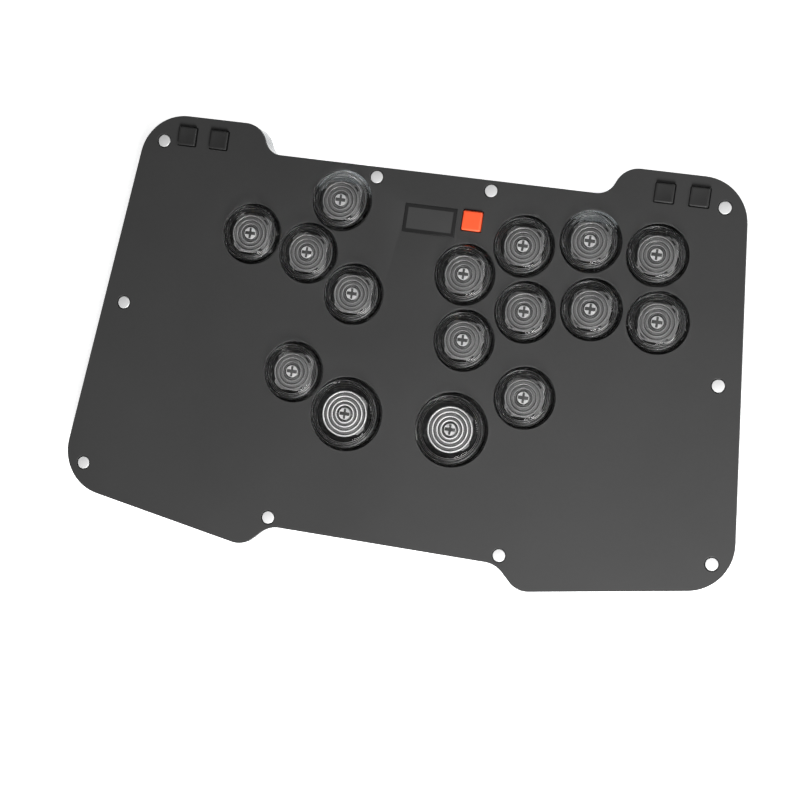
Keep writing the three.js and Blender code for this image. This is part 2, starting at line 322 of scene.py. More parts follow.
# %% [markdown]
# ## Materials: the shared effects
#
# Three effects turn up in most finishes, so each is a node group with named sockets: the fine
# grain that moulding or coating leaves, the light wear along exposed edges, and a trace of dust
# on what faces up. A group gives masks and heights only; the shader stays in each material.

# %% Node group tools
def new_group(name, inputs, outputs):
    group = bpy.data.node_groups.new(name, "ShaderNodeTree")
    for label, kind, value in inputs:
        socket = group.interface.new_socket(name=label, in_out="INPUT", socket_type=kind)
        if value is not None:
            socket.default_value = value
    for label, kind in outputs:
        group.interface.new_socket(name=label, in_out="OUTPUT", socket_type=kind)
    return group, group.nodes.new("NodeGroupInput").outputs, group.nodes.new("NodeGroupOutput").inputs


def add_node(tree, kind, inputs=None, **settings):
    """Adds a node; each input is a value, or an output socket to link from."""
    node = tree.nodes.new(kind)
    for key, value in settings.items():
        setattr(node, key, value)
    for key, value in (inputs or {}).items():
        if isinstance(value, bpy.types.NodeSocket):
            tree.links.new(value, node.inputs[key])
        else:
            node.inputs[key].default_value = value
    return node


def blend(tree, factor, a, b):
    """Mix two colours, and put out the result."""
    mix = add_node(tree, "ShaderNodeMix", {"Factor": factor, "A": a, "B": b}, data_type="RGBA")
    return mix.outputs["Result"]


def math_node(tree, operation, a, b, **settings):
    return add_node(tree, "ShaderNodeMath", {0: a, 1: b}, operation=operation, **settings).outputs["Value"]


def spread(tree, value, from_low, from_high, to_low, to_high):
    """Stretch one range of values over another, and put out the result."""
    stretch = add_node(tree, "ShaderNodeMapRange", {
        "Value": value, "From Min": from_low, "From Max": from_high, "To Min": to_low, "To Max": to_high})
    return stretch.outputs["Result"]


FLOAT, VECTOR = "NodeSocketFloat", "NodeSocketVector"

# %% Group: fine grain
GRAIN, g_in, g_out = new_group(
    "fine_grain", [("Vector", VECTOR, None), ("Grain Scale", FLOAT, 4000.0), ("Cloud Scale", FLOAT, 40.0)],
    [("Height", FLOAT), ("Cloud", FLOAT)])
fine = add_node(GRAIN, "ShaderNodeTexNoise",
                {"Vector": g_in["Vector"], "Scale": g_in["Grain Scale"], "Detail": 3.0, "Roughness": 0.6})
broad = add_node(GRAIN, "ShaderNodeTexNoise",
                 {"Vector": g_in["Vector"], "Scale": g_in["Cloud Scale"], "Detail": 5.0, "Roughness": 0.55})
GRAIN.links.new(fine.outputs["Fac"], g_out["Height"])
GRAIN.links.new(broad.outputs["Fac"], g_out["Cloud"])

# %% Group: edge wear
WEAR, w_in, w_out = new_group(
    "edge_wear", [("Vector", VECTOR, None), ("Reach", FLOAT, 0.0003), ("Break Up", FLOAT, 300.0)],
    [("Mask", FLOAT)])
blurred = add_node(WEAR, "ShaderNodeBevel", {"Radius": w_in["Reach"]}, samples=4)
facing = add_node(WEAR, "ShaderNodeNewGeometry")
agree = add_node(WEAR, "ShaderNodeVectorMath",
                 {0: blurred.outputs["Normal"], 1: facing.outputs["Normal"]}, operation="DOT_PRODUCT")
edge = spread(WEAR, agree.outputs["Value"], 0.995, 0.85, 0, 1)
patches = add_node(WEAR, "ShaderNodeTexNoise",
                   {"Vector": w_in["Vector"], "Scale": w_in["Break Up"], "Detail": 4.0})
kept = spread(WEAR, patches.outputs["Fac"], 0.35, 0.7, 0, 1)
WEAR.links.new(math_node(WEAR, "MULTIPLY", edge, kept), w_out["Mask"])

# %% Group: settled dust
DUST, d_in, d_out = new_group(
    "settled_dust", [("Vector", VECTOR, None), ("Amount", FLOAT, 0.05)], [("Mask", FLOAT)])
facing = add_node(DUST, "ShaderNodeNewGeometry")
up = add_node(DUST, "ShaderNodeSeparateXYZ", {0: facing.outputs["Normal"]})
flecks = add_node(DUST, "ShaderNodeTexNoise", {"Vector": d_in["Vector"], "Scale": 900.0, "Detail": 2.0})
drift = add_node(DUST, "ShaderNodeTexNoise", {"Vector": d_in["Vector"], "Scale": 25.0, "Detail": 3.0})
thick = math_node(DUST, "MULTIPLY", flecks.outputs["Fac"], drift.outputs["Fac"])
level = math_node(DUST, "MULTIPLY", thick, up.outputs["Z"])
settled = math_node(DUST, "MULTIPLY", level, d_in["Amount"], use_clamp=True)
DUST.links.new(settled, d_out["Mask"])
print("groups:", [group.name for group in bpy.data.node_groups])

# %% [markdown]
# ## Opaque finishes
#
# Powder coat, moulded plastic, rubber and metal differ only in numbers here: the colour and how
# far it drifts, the roughness and how far that drifts, the grain's size and depth, and how worn
# the edges are. One function builds them all, and each finish is one call with its own values.

# %% Opaque finish builder
DUST_COLOUR = (0.35, 0.34, 0.32, 1)


def place_vector(tree, own):
    """Where a pattern is anchored: the whole panel, or the piece's own middle."""
    if own:
        return add_node(tree, "ShaderNodeAttribute", attribute_name="own_place").outputs["Vector"]
    return add_node(tree, "ShaderNodeTexCoord").outputs["Object"]


def grey(value):
    return (value, value, value, 1)


def scaled(colour, factor):
    return [min(1, c * factor) for c in colour[:3]] + [1]


def new_finish(name, own, grain_scale, cloud_scale, **plain):
    """A material with its place vector and fine grain. plain sets the shader's own sockets."""
    material = bpy.data.materials.new(name)
    material.use_nodes = True
    tree = material.node_tree
    shader = tree.nodes["Principled BSDF"]
    for key, value in plain.items():
        shader.inputs[key.replace("_", " ")].default_value = value
    place = place_vector(tree, own)
    texture = add_node(tree, "ShaderNodeGroup", node_tree=GRAIN)
    tree.links.new(place, texture.inputs["Vector"])
    texture.inputs["Grain Scale"].default_value = grain_scale
    texture.inputs["Cloud Scale"].default_value = cloud_scale
    return material, tree, shader, place, texture


def raise_surface(tree, shader, height_from, depth):
    """Bump the shader's surface by a depth in mm."""
    bump = add_node(tree, "ShaderNodeBump", {"Height": height_from, "Distance": depth * MM})
    tree.links.new(bump.outputs["Normal"], shader.inputs["Normal"])


def opaque(name, colour, drift=0.15, rough=(0.4, 0.55), grain=(3000, 0.02), cloud=60,
           wear=None, dust=0.0, own=False, **plain):
    """wear is (reach in mm, colour), and grain is (scale, depth in mm)."""
    material, tree, shader, place, texture = new_finish(name, own, grain[0], cloud, **plain)
    tint = blend(tree, texture.outputs["Cloud"], scaled(colour, 1 - drift), scaled(colour, 1 + drift))
    if wear:
        edges = add_node(tree, "ShaderNodeGroup", node_tree=WEAR)
        tree.links.new(place, edges.inputs["Vector"])
        edges.inputs["Reach"].default_value = wear[0] * MM
        tint = blend(tree, edges.outputs["Mask"], tint, wear[1])
    if dust:
        settled = add_node(tree, "ShaderNodeGroup", node_tree=DUST)
        tree.links.new(place, settled.inputs["Vector"])
        settled.inputs["Amount"].default_value = dust
        tint = blend(tree, settled.outputs["Mask"], tint, DUST_COLOUR)
    tree.links.new(tint, shader.inputs["Base Color"])
    tree.links.new(spread(tree, texture.outputs["Cloud"], 0.3, 0.7, *rough), shader.inputs["Roughness"])
    raise_surface(tree, shader, texture.outputs["Height"], grain[1])
    return material


# %% The opaque finishes
COAT = opaque("plate_powder_coat", grey(0.034), drift=0.06, rough=(0.5, 0.58), grain=(2600, 0.012),
              cloud=18, wear=(0.2, grey(0.07)), dust=0.02, Specular_IOR_Level=0.35)
# painted shade: near-black colour for the plate's upright rim and hole faces
PLATE_EDGE_SHADE = opaque("plate_edge_painted_shade", grey(0.008), drift=0.1, rough=(0.5, 0.6), grain=(2600, 0.008),
                    Specular_IOR_Level=0.25)
KEY_BLACK = opaque("black_key_plastic", grey(0.019), rough=(0.48, 0.6), grain=(5000, 0.006),
                   wear=(0.3, grey(0.03)), dust=0.03, Specular_IOR_Level=0.35)
# painted shade: near-black colour for the black keys' upright sides
KEY_SIDE_SHADE = opaque("black_key_side_painted_shade", grey(0.004), rough=(0.55, 0.65), grain=(5000, 0.006),
                  Specular_IOR_Level=0.2)
KEY_ORANGE = opaque("orange_key_plastic", (1.0, 0.105, 0.032, 1), drift=0.05, rough=(0.38, 0.5),
                    grain=(5000, 0.005), wear=(0.35, (1.0, 0.22, 0.12, 1)))
HOUSING_TOP = opaque("switch_top_milky", grey(0.20), drift=0.12, rough=(0.35, 0.5),
                     grain=(4000, 0.006), wear=(0.3, grey(0.28)), own=True)
HOUSING_BASE = opaque("switch_base_nylon", grey(0.012), rough=(0.45, 0.6), grain=(4000, 0.01), own=True)
STEM = opaque("switch_stem_grey", grey(0.06), rough=(0.3, 0.45), grain=(4000, 0.005), own=True)
POST = opaque("cap_post_white", grey(0.52), drift=0.06, rough=(0.3, 0.45), grain=(4000, 0.004),
              own=True)
RUBBER = opaque("foot_rubber", grey(0.022), drift=0.25, rough=(0.75, 0.92), grain=(2500, 0.03),
                dust=0.2)
# painted highlight: ring crests coloured light for the glint they catch, stronger on large caps
RING_HIGHLIGHT_STRONG = opaque("ring_crest_painted_highlight_strong", grey(0.66), drift=0.04, rough=(0.2, 0.3),
                     grain=(4000, 0.003), own=True)
RING_HIGHLIGHT_SOFT = opaque("ring_crest_painted_highlight_soft", grey(0.20), drift=0.08, rough=(0.25, 0.4),
                   grain=(4000, 0.004), own=True)
RING_BAND = opaque("ring_band_frosted", grey(0.115), drift=0.12, rough=(0.3, 0.45),
                   grain=(3000, 0.006), own=True)
# painted shade: dark colour in the grooves just inside the crests
RING_GROOVE_SHADE = opaque("ring_groove_shade", grey(0.035), drift=0.12, rough=(0.3, 0.45),
                     grain=(3000, 0.006), own=True)
CHIP = opaque("chip_epoxy", grey(0.02), rough=(0.4, 0.55), grain=(6000, 0.01), wear=(0.1, grey(0.06)))
CERAMIC = opaque("ceramic_tan", (0.35, 0.24, 0.14, 1), rough=(0.4, 0.6), grain=(5000, 0.01))
WINDOW_BORDER = opaque("window_border_print", grey(0.012), drift=0.1, rough=(0.4, 0.5),
                       grain=(4000, 0.003))
# smoked pane tone, lightened as a painted reflection of the glass
WINDOW_PANE_SHEEN = opaque("window_smoked_pane_painted_sheen", grey(0.046), drift=0.12, rough=(0.35, 0.45),
                     grain=(900, 0.002), cloud=30)
DISPLAY = opaque("display_dark_glass", (0.010, 0.012, 0.020, 1), rough=(0.08, 0.14),
                 grain=(1200, 0.002))

# %% [markdown]
# ## Metals
#
# Turned ends show fine rings round their own axis, and stamped or rolled metal shows straight
# brushing. A wave texture in rings or bands, broken up by noise, drives roughness and a little
# bump. The rings read own_place, so they stay centred on each copy.

# %% Metal builder
def metal(name, colour, rough, lines, rings=True, depth=0.004, own=True, metallic=1.0):
    material, tree, shader, place, texture = new_finish(name, own, 1500, 200, Metallic=metallic)
    marks = add_node(tree, "ShaderNodeTexWave",
                     {"Vector": place, "Scale": lines, "Distortion": 1.2, "Detail": 3.0},
                     wave_type="RINGS" if rings else "BANDS")
    if rings:
        marks.rings_direction = "Z"
    tree.links.new(blend(tree, texture.outputs["Cloud"], scaled(colour, 0.8), colour),
                   shader.inputs["Base Color"])
    tree.links.new(spread(tree, marks.outputs["Fac"], 0, 1, *rough), shader.inputs["Roughness"])
    raise_surface(tree, shader, marks.outputs["Fac"], depth)
    return material


BRIGHT = metal("blasted_aluminium", grey(0.80), (0.45, 0.65), 900, metallic=0.4)
ZINC = metal("screw_zinc", (0.62, 0.63, 0.65, 1), (0.25, 0.45), 700)
STEEL = metal("stamped_steel", (0.66, 0.66, 0.67, 1), (0.22, 0.4), 500, rings=False, own=False)
GOLD = metal("gold_plating", (0.95, 0.70, 0.32, 1), (0.25, 0.4), 500, rings=False, own=False)
SOLDER = metal("solder_tin", (0.72, 0.72, 0.71, 1), (0.18, 0.35), 300, rings=False, own=False)

# %% [markdown]
# ## Clear plastic
#
# The frame, the base and the caps are clear acrylic or polycarbonate. Real clear parts are
# never perfect: the cut edges carry faint vertical saw lines and scatter some light, moulded
# faces have fine ripples, and handled faces have a little haze. The shader lets nearly all the
# light through, at acrylic's index. Shadow rays pass straight through it with a tint, so that
# lamps still light what lies inside.

# %% Clear plastic builder
ACRYLIC_INDEX = 1.49


def clear(name, tint, shade, rough=(0.02, 0.08), ripple=(400, 0.004), saw=0.0, own=False, passing=1.0):
    """tint colours what is seen through it, and shade the light that passes to what lies behind."""
    material, tree, shader, place, texture = new_finish(
        name, own, ripple[0], 90, Transmission_Weight=passing, IOR=ACRYLIC_INDEX)
    cloud = texture.outputs["Cloud"]
    tree.links.new(blend(tree, cloud, scaled(tint, 0.94), tint), shader.inputs["Base Color"])
    tree.links.new(spread(tree, cloud, 0.35, 0.75, *rough), shader.inputs["Roughness"])
    relief = texture.outputs["Height"]
    if saw:
        upright = add_node(tree, "ShaderNodeMapping", {"Vector": place, "Scale": (1, 1, 0.02)})
        lines = add_node(tree, "ShaderNodeTexNoise", {"Vector": upright.outputs["Vector"], "Scale": 2200.0})
        relief = math_node(tree, "ADD", relief, lines.outputs["Fac"])
    raise_surface(tree, shader, relief, ripple[1] + saw)
    tinted = add_node(tree, "ShaderNodeBsdfTransparent", {"Color": shade})
    ray = add_node(tree, "ShaderNodeLightPath")
    either = add_node(tree, "ShaderNodeMixShader",
                      {0: ray.outputs["Is Shadow Ray"], 1: shader.outputs["BSDF"], 2: tinted.outputs["BSDF"]})
    output = tree.nodes["Material Output"]
    tree.links.new(either.outputs["Shader"], output.inputs["Surface"])
    return material


ACRYLIC = clear("clear_acrylic_sheet", (0.97, 0.985, 0.99, 1), (0.85, 0.87, 0.88, 1),
                saw=0.01, passing=0.92)
CUT_ACRYLIC = clear("clear_acrylic_cut", (0.99, 0.995, 1.0, 1), (0.9, 0.92, 0.93, 1), rough=(0.06, 0.15),
                    saw=0.004, passing=0.7)
CAP_CLEAR = clear("cap_polycarbonate", grey(0.80), grey(0.74), rough=(0.0, 0.02),
                  ripple=(250, 0.0005), own=True)
CAP_GROUND = clear("cap_ground_edges", grey(0.80), grey(0.74), rough=(0.4, 0.6),
                   ripple=(2500, 0.0006), own=True)

# %% [markdown]
# ## The circuit board's finish
#
# Black solder mask with copper traces under it, which show as slightly lighter tracks, and
# scattered small plated holes. A brick pattern stands in for the tracks, and a Voronoi cell
# pattern gives the holes.

# %% Board finish
BOARD = opaque("board_solder_mask", grey(0.005), rough=(0.25, 0.4), grain=(5000, 0.004))
tree = BOARD.node_tree
shader = tree.nodes["Principled BSDF"]
place = place_vector(tree, False)
tracks = add_node(tree, "ShaderNodeTexBrick",
                  {"Vector": place, "Scale": 60.0, "Mortar Size": 0.03, "Color1": grey(0),
                   "Color2": grey(0), "Mortar": grey(1), "Row Height": 0.12, "Brick Width": 0.6})
cells = add_node(tree, "ShaderNodeTexVoronoi", {"Vector": place, "Scale": 150.0, "Randomness": 0.9})
holes = math_node(tree, "LESS_THAN", cells.outputs["Distance"], 0.09)
under = shader.inputs["Base Color"].links[0].from_socket
tracked = blend(tree, tracks.outputs["Color"], under, grey(0.014))
plated = blend(tree, holes, tracked, (0.11, 0.085, 0.045, 1))
tree.links.new(plated, shader.inputs["Base Color"])
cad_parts["main_pcb"].material_slots[0].material = BOARD
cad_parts["display_module"].material_slots[0].material = DISPLAY
print("materials:", len(bpy.data.materials))

# %% [markdown]
# ## The metal plate
#
# The plate's outline steps back at the rear between two wings and steps in at the front. It is
# drawn as one half with corner radii and mirrored. The holes are cut as the real ones are
# punched, all at once, and then every rim gets the small radius that paint gives a sheet edge.
# The edges face away from the light and look almost black, so they are coloured near black as painted shade.

# %% The outline
OUTLINE_HALF = [(69.4, 72.5, 7.4), (73.8, 83.75, 9.5), (121.59, 83.75, 18.2),
                (138.29, -70.3, 18.4), (56.2, -84.41, 9.35), (46.5, -75.0, 10.2)]


def both_halves(half):
    return half + [(-x, y, radius) for x, y, radius in reversed(half)]


outline = rounded(both_halves(OUTLINE_HALF), step=6)
print("outline of", len(outline), "points")

# %% Places and sizes of what the plate holds
BUTTONS = sorted(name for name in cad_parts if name.startswith("button_cap"))
STANDOFFS = sorted(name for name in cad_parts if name.startswith("standoff"))
BLACK_KEYS = sorted(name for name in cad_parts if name.startswith("function_key"))
CAP_GAP, KEY_GAP, WINDOW_GAP, SPIGOT_GAP = 0.8, 0.2, 0.05, 0.3


def at(node):
    """The middle of a node, x and y in mm."""
    spot = middle(node)
    return spot.x / MM, spot.y / MM


BLACK_HALF, ORANGE_HALF, KEY_CORNER = 3.75, 3.85, 0.6
SMALL_CAP, LARGE_CAP = 11.4, 13.9
BUTTON_RADIUS = {}
for name in BUTTONS:
    low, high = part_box(name)
    is_small = (high.x - low.x) / MM < SMALL_CAP + LARGE_CAP
    BUTTON_RADIUS[name] = SMALL_CAP if is_small else LARGE_CAP
print(list(BUTTON_RADIUS.values()).count(LARGE_CAP), "large caps of", len(BUTTONS))
SPIGOT_RADIUS = 2.45

# %% Cut and soften the plate
plate = slab("metal_plate", outline, PLATE_LOW, PLATE_HIGH)
low, high = PLATE_LOW - 1, PLATE_HIGH + 1
cutters = [rod(*at(name), BUTTON_RADIUS[name] + CAP_GAP, low, high) for name in BUTTONS]
cutters += [rod(*at(name), SPIGOT_RADIUS + SPIGOT_GAP, low, high, 48) for name in STANDOFFS]


def square_cutter(node, half):
    x, y = at(node)
    corners = [(x + half, y + half, KEY_CORNER), (x + half, y - half, KEY_CORNER),
               (x - half, y - half, KEY_CORNER), (x - half, y + half, KEY_CORNER)]
    return slab("slot", rounded(corners, step=18), low, high)


cutters += [square_cutter(name, BLACK_HALF + KEY_GAP) for name in BLACK_KEYS]
cutters.append(square_cutter("menu_key", ORANGE_HALF + 1.5 * KEY_GAP))
window_x, window_y = at("display_window")
window_low, window_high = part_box("display_window")
window_size = (window_high - window_low) / MM
cutters.append(block("slot", window_x, window_y, low,
                     (window_size.x + 2 * WINDOW_GAP, window_size.y + 2 * WINDOW_GAP, high - low)))
cut(plate, cutters)
soften_edges(plate, 0.22, segments=2)
settle(plate)
# the upright faces take the near-black painted shade
two_finishes(plate, COAT, PLATE_EDGE_SHADE, lambda face: abs(face.normal.z) < 0.9)
belong(plate, "panel", "plate", "top_plate")
print("plate has", len(plate.data.polygons), "faces")

# %% [markdown]
# ## The clear frame and base
#
# Under the plate is a ring of clear acrylic with a ledge for the circuit board, a gap at the rear
# for the plug, and a round relief wherever a cap comes close to its wall. Below it is a clear
# base with a plain hole for each screw. Both follow the plate's outline, and their edges get a
# fine chamfer. The reliefs stop a little above the ledge, so that the wall keeps clean faces.

# %% The frame
HOLLOW_HALF = [(80.0, 62.5, 1.5), (82.0, 80.5, 2.0), (108.8, 80.5, 2.0),
               (122.3, -50.0, 4.0), (112.0, -64.5, 4.0)]
LEDGE_HALF = [(82.5, 60.0, 1.5), (84.5, 78.0, 1.5), (106.3, 78.0, 1.5),
              (119.8, -50.0, 4.0), (109.5, -62.0, 4.0)]
STANDOFF_BORE, PLUG_WAY, RELIEF_RADIUS, RELIEF_STEP = 3.1, 13.4, 12.0, 0.8
CLOSE_TO_WALL = ("button_cap_01", "button_cap_08")
SHEET_CHAMFER = 0.25


def finish_acrylic(piece):
    """Flat faces are polished sheet, and upright faces are cut, so they scatter a little light."""
    soften_edges(piece, SHEET_CHAMFER, segments=1)
    settle(piece)
    two_finishes(piece, ACRYLIC, CUT_ACRYLIC, lambda face: abs(face.normal.z) < 0.5)


clear_frame = slab("clear_frame", outline, BASE_HIGH, PLATE_LOW)
cutters = [slab("hollow", rounded(both_halves(HOLLOW_HALF)), BOARD_LOW, PLATE_LOW + 1),
           slab("ledge", rounded(both_halves(LEDGE_HALF)), BASE_HIGH - 1, PLATE_LOW + 2)]
cutters += [rod(*at(name), STANDOFF_BORE, BASE_HIGH - 2, PLATE_LOW + 2, 48) for name in STANDOFFS]
cutters += [rod(*at(name), RELIEF_RADIUS, BOARD_LOW + RELIEF_STEP, PLATE_LOW + 3)
            for name in CLOSE_TO_WALL]
cutters.append(block("plug_way", 0, 72.5, BASE_HIGH - 3, (PLUG_WAY, 30, 20)))
cut(clear_frame, cutters)
finish_acrylic(clear_frame)
belong(clear_frame, "panel", "clear_acrylic", "body_frame")

# %% The base
SCREW_HOLE = 1.6
clear_base = slab("clear_base", outline, BASE_LOW, BASE_HIGH)
cut(clear_base, [rod(*at(name), SCREW_HOLE, BASE_LOW - 1, BASE_HIGH + 1, 32) for name in STANDOFFS])
finish_acrylic(clear_base)
belong(clear_base, "panel", "clear_acrylic", "bottom_plate")
print("frame", len(clear_frame.data.polygons), "base", len(clear_base.data.polygons))

# %% [markdown]
# ## Standoffs and screws
#
# Each standoff is turned: a shoulder under the plate and a spigot whose bright end shows in the
# plate, with a fine chamfer. The spigot's side takes the plate's dark coat as painted shade, so
# the gap round it in the hole reads dark. A pan-head screw with a cross recess holds the base to
# it from below.

# %% Standoffs
STANDOFF_TOP, SHOULDER = height("standoff_01", 1), 2.8
standoff = turned("standoff_pattern", [
    (0, BASE_HIGH, 0), (SHOULDER - 0.3, BASE_HIGH, 0), (SHOULDER, BASE_HIGH + 0.3, 0),
    (SHOULDER, PLATE_LOW - 0.2, 0), (SHOULDER - 0.2, PLATE_LOW, 0), (SPIGOT_RADIUS, PLATE_LOW, 0),
    (SPIGOT_RADIUS, STANDOFF_TOP - 0.25, 0), (SPIGOT_RADIUS, STANDOFF_TOP - 0.15, 0),
    (SPIGOT_RADIUS - 0.15, STANDOFF_TOP - 0.03, 0.05), (0, STANDOFF_TOP, 0)], steps=48)
settle(standoff, 30)
# painted shade: the spigot's side below its end takes the dark plate coat
two_finishes(standoff, BRIGHT, COAT,
             lambda face: PLATE_LOW - 0.3 < face.center.z / MM < STANDOFF_TOP - 0.28)
remember_place(standoff)
for name in STANDOFFS:
    place_copy(standoff, name + "_turned", name, "panel", "standoff_steel", name)

# %% Screws
HEAD_DROP, HEAD_RADIUS, SHANK, CLEARANCE = 1.3, 2.7, 1.45, 0.02
RECESS_LONG, RECESS_WIDE, RECESS_TALL = 2.6, 0.6, 1.2
screw = turned("screw_pattern", [
    (0, BASE_LOW - HEAD_DROP, 0), (1.4, BASE_LOW - HEAD_DROP, 0.3), (HEAD_RADIUS, BASE_LOW - 0.6, 0.4),
    (HEAD_RADIUS, BASE_LOW - CLEARANCE, 0), (SHANK, BASE_LOW - CLEARANCE, 0),
    (SHANK, BASE_HIGH - CLEARANCE, 0), (0, BASE_HIGH - CLEARANCE, 0)], steps=32)
cut(screw, cross(BASE_LOW - HEAD_DROP - 0.5, RECESS_TALL, RECESS_LONG, RECESS_WIDE, RECESS_WIDE))
settle(screw, 30)
screw.data.materials.append(ZINC)
remember_place(screw)
for i, name in enumerate(STANDOFFS):
    place_copy(screw, f"base_screw_{i + 1:02d}", name, "panel", "standoff_steel")
for pattern in (standoff, screw):
    bpy.data.objects.remove(pattern)
print(len(STANDOFFS), "standoffs and screws")

# %% [markdown]
# ## Key switches
#
# A low-profile switch has a black base on the board, a milky top half with cut corners, and a
# moving stem with a cross on top that the cap is pressed on. The bore in the top is where the
# stem slides. The base and top share one mesh, cut through at the seam so that the base can be
# drawn in, and faces are given their finish by height.

# %% Switch housing
SWITCH_TOP = height("switch_housing_01", 1)
SWITCH_HALF, SWITCH_CUT, SWITCH_BORE, SEAM, BASE_DRAWN_IN = 7.5, 2.0, 3.1, 8.6, 0.94


def chamfered_square(half, chamfer):
    near = half - chamfer
    corners = [(near, half), (half, near), (half, -near), (near, -half),
               (-near, -half), (-half, -near), (-half, near), (-near, half)]
    return [Vector(corner) * MM for corner in corners]


housing = slab("switch_pattern", chamfered_square(SWITCH_HALF, SWITCH_CUT), BOARD_HIGH, SWITCH_TOP)
edit(housing)
bpy.ops.mesh.select_all(action="SELECT")
bpy.ops.mesh.bisect(plane_co=(0, 0, SEAM * MM), plane_no=(0, 0, 1))
pick("faces", lambda face: face.calc_center_median().z < SEAM * MM and abs(face.normal.z) < 0.5)
bpy.ops.transform.resize(value=(BASE_DRAWN_IN, BASE_DRAWN_IN, 1))
pick("faces", lambda face: face.normal.z > 0.9)
bpy.ops.mesh.inset(thickness=0.9 * MM, depth=0)
bpy.ops.mesh.inset(thickness=0.25 * MM, depth=-0.35 * MM)
bpy.ops.object.mode_set(mode="OBJECT")
CLIP = (3.4, 1.4, 1.6)
cutters = [rod(0, 0, SWITCH_BORE, BOARD_HIGH + 0.4, SWITCH_TOP + 1, 48)]
cutters += [block("clip", 0, side * SWITCH_HALF, BOARD_HIGH + 2.2, CLIP) for side in (-1, 1)]
cut(housing, cutters)
soften_edges(housing, 0.15, segments=2)
settle(housing)
two_finishes(housing, HOUSING_TOP, HOUSING_BASE, lambda face: (
    face.center.z < (SEAM - 0.02) * MM or face.center.xy.length < (SWITCH_BORE + 0.05) * MM))
remember_place(housing)
for name in BUTTONS:
    twin = name.replace("button_cap", "switch_housing")
    place_copy(housing, twin + "_detail", name, "panel", "switch_black", twin)
bpy.data.objects.remove(housing)
print(len(BUTTONS), "switch housings")

# %% [markdown]
# ## Stems
#
# The stem is a round slider with a cross on top. It moves with its button, so it rides on the
# button's body and not on the panel.

# %% Stem with its cross
STEM_FOOT, STEM_RADIUS, CROSS_LOW, CROSS_TOP, ROOT = 10.2, 2.7, 12.3, CAP_HIGH - 1.35, 0.3
CROSS_LONG, CROSS_WIDE, CROSS_THIN = 4.1, 1.3, 0.9
stem = turned("stem_pattern", [
    (0, STEM_FOOT, 0), (STEM_RADIUS - 0.4, STEM_FOOT, 0.2), (STEM_RADIUS, STEM_FOOT + 0.5, 0.2),
    (STEM_RADIUS, CROSS_LOW, 0.2), (0, CROSS_LOW, 0)], steps=40)
for bar in cross(CROSS_LOW - ROOT, CROSS_TOP - CROSS_LOW + ROOT, CROSS_LONG, CROSS_WIDE, CROSS_THIN):
    merge_in(stem, bar)
soften_edges(stem, 0.12, segments=2)
settle(stem, 30)
stem.data.materials.append(STEM)
remember_place(stem)
for i, name in enumerate(BUTTONS):
    place_copy(stem, f"switch_stem_{i + 1:02d}", name, f"button_{i + 1:02d}", "switch_black")
bpy.data.objects.remove(stem)
print(len(BUTTONS), "stems")

# %% [markdown]
# ## Button caps
#
# A cap is a clear shell with a thick flat top, a soft rim and a skirt that reaches into the plate.
# Under the top are a pale post that grips the cross and a set of concentric ridges. The ridges
# are what catches the light, so they are real geometry, and their colour adds painted light: the
# crests are coloured light as a painted highlight on a frosted band, and the grooves dark as
# painted shade. Two sizes are modelled and copied.

# %% The clear shell
TOP_THICK, WALL = 1.2, 1.2
CEILING = CAP_HIGH - TOP_THICK
GROOVE_IN, GROOVE_HALF, STEPS_REACH = 0.8, 0.15, 2.0


def cap_shell(name, radius):
    """Turned as one shell. Three shallow steps round the ceiling and a fine groove round the top
    are left ground, not polished."""
    inner = radius - WALL
    edge = radius - GROOVE_IN
    profile = [(0, CAP_HIGH, 0), (edge - GROOVE_HALF, CAP_HIGH, 0.05), (edge, CAP_HIGH - 0.12, 0.04),
               (edge + GROOVE_HALF, CAP_HIGH - 0.02, 0.05), (radius - 0.12, CAP_HIGH - 0.75, 0.5),
               (radius, CAP_LOW + 1.0, 0.5), (radius, CAP_LOW, 0.25), (inner, CAP_LOW, 0.25),
               (inner - 0.15, CEILING - 0.7, 0.3)]
    for k in range(3):
        step, rise = inner - 0.3 - 0.55 * k, 0.15 * k
        profile += [(step, CEILING - 0.45 + rise, 0.08), (step - 0.35, CEILING - 0.4 + rise, 0.08)]
    profile += [(inner - STEPS_REACH, CEILING, 0.05), (0, CEILING, 0)]
    shell = turned(name, profile, steps=80)

    def is_ground(face):
        reach, level = face.center.xy.length / MM, face.center.z / MM
        in_groove = level > CAP_HIGH - 0.2 and abs(reach - edge) < GROOVE_HALF + 0.01
        on_step = (CEILING - 0.6 < level < CEILING - 0.02 and inner - STEPS_REACH < reach < inner
                   and abs(face.normal.z) < 0.9)
        return in_groove or on_step

    two_finishes(shell, CAP_CLEAR, CAP_GROUND, is_ground)
    return shell


# %% The rings
RING_LOW, RING_FLOOR, RING_HIGH = CEILING - 0.68, CEILING - 0.42, CEILING - 0.2
RING_BORE, CREST_HALF, GROOVE = 2.85, 0.24, 0.38


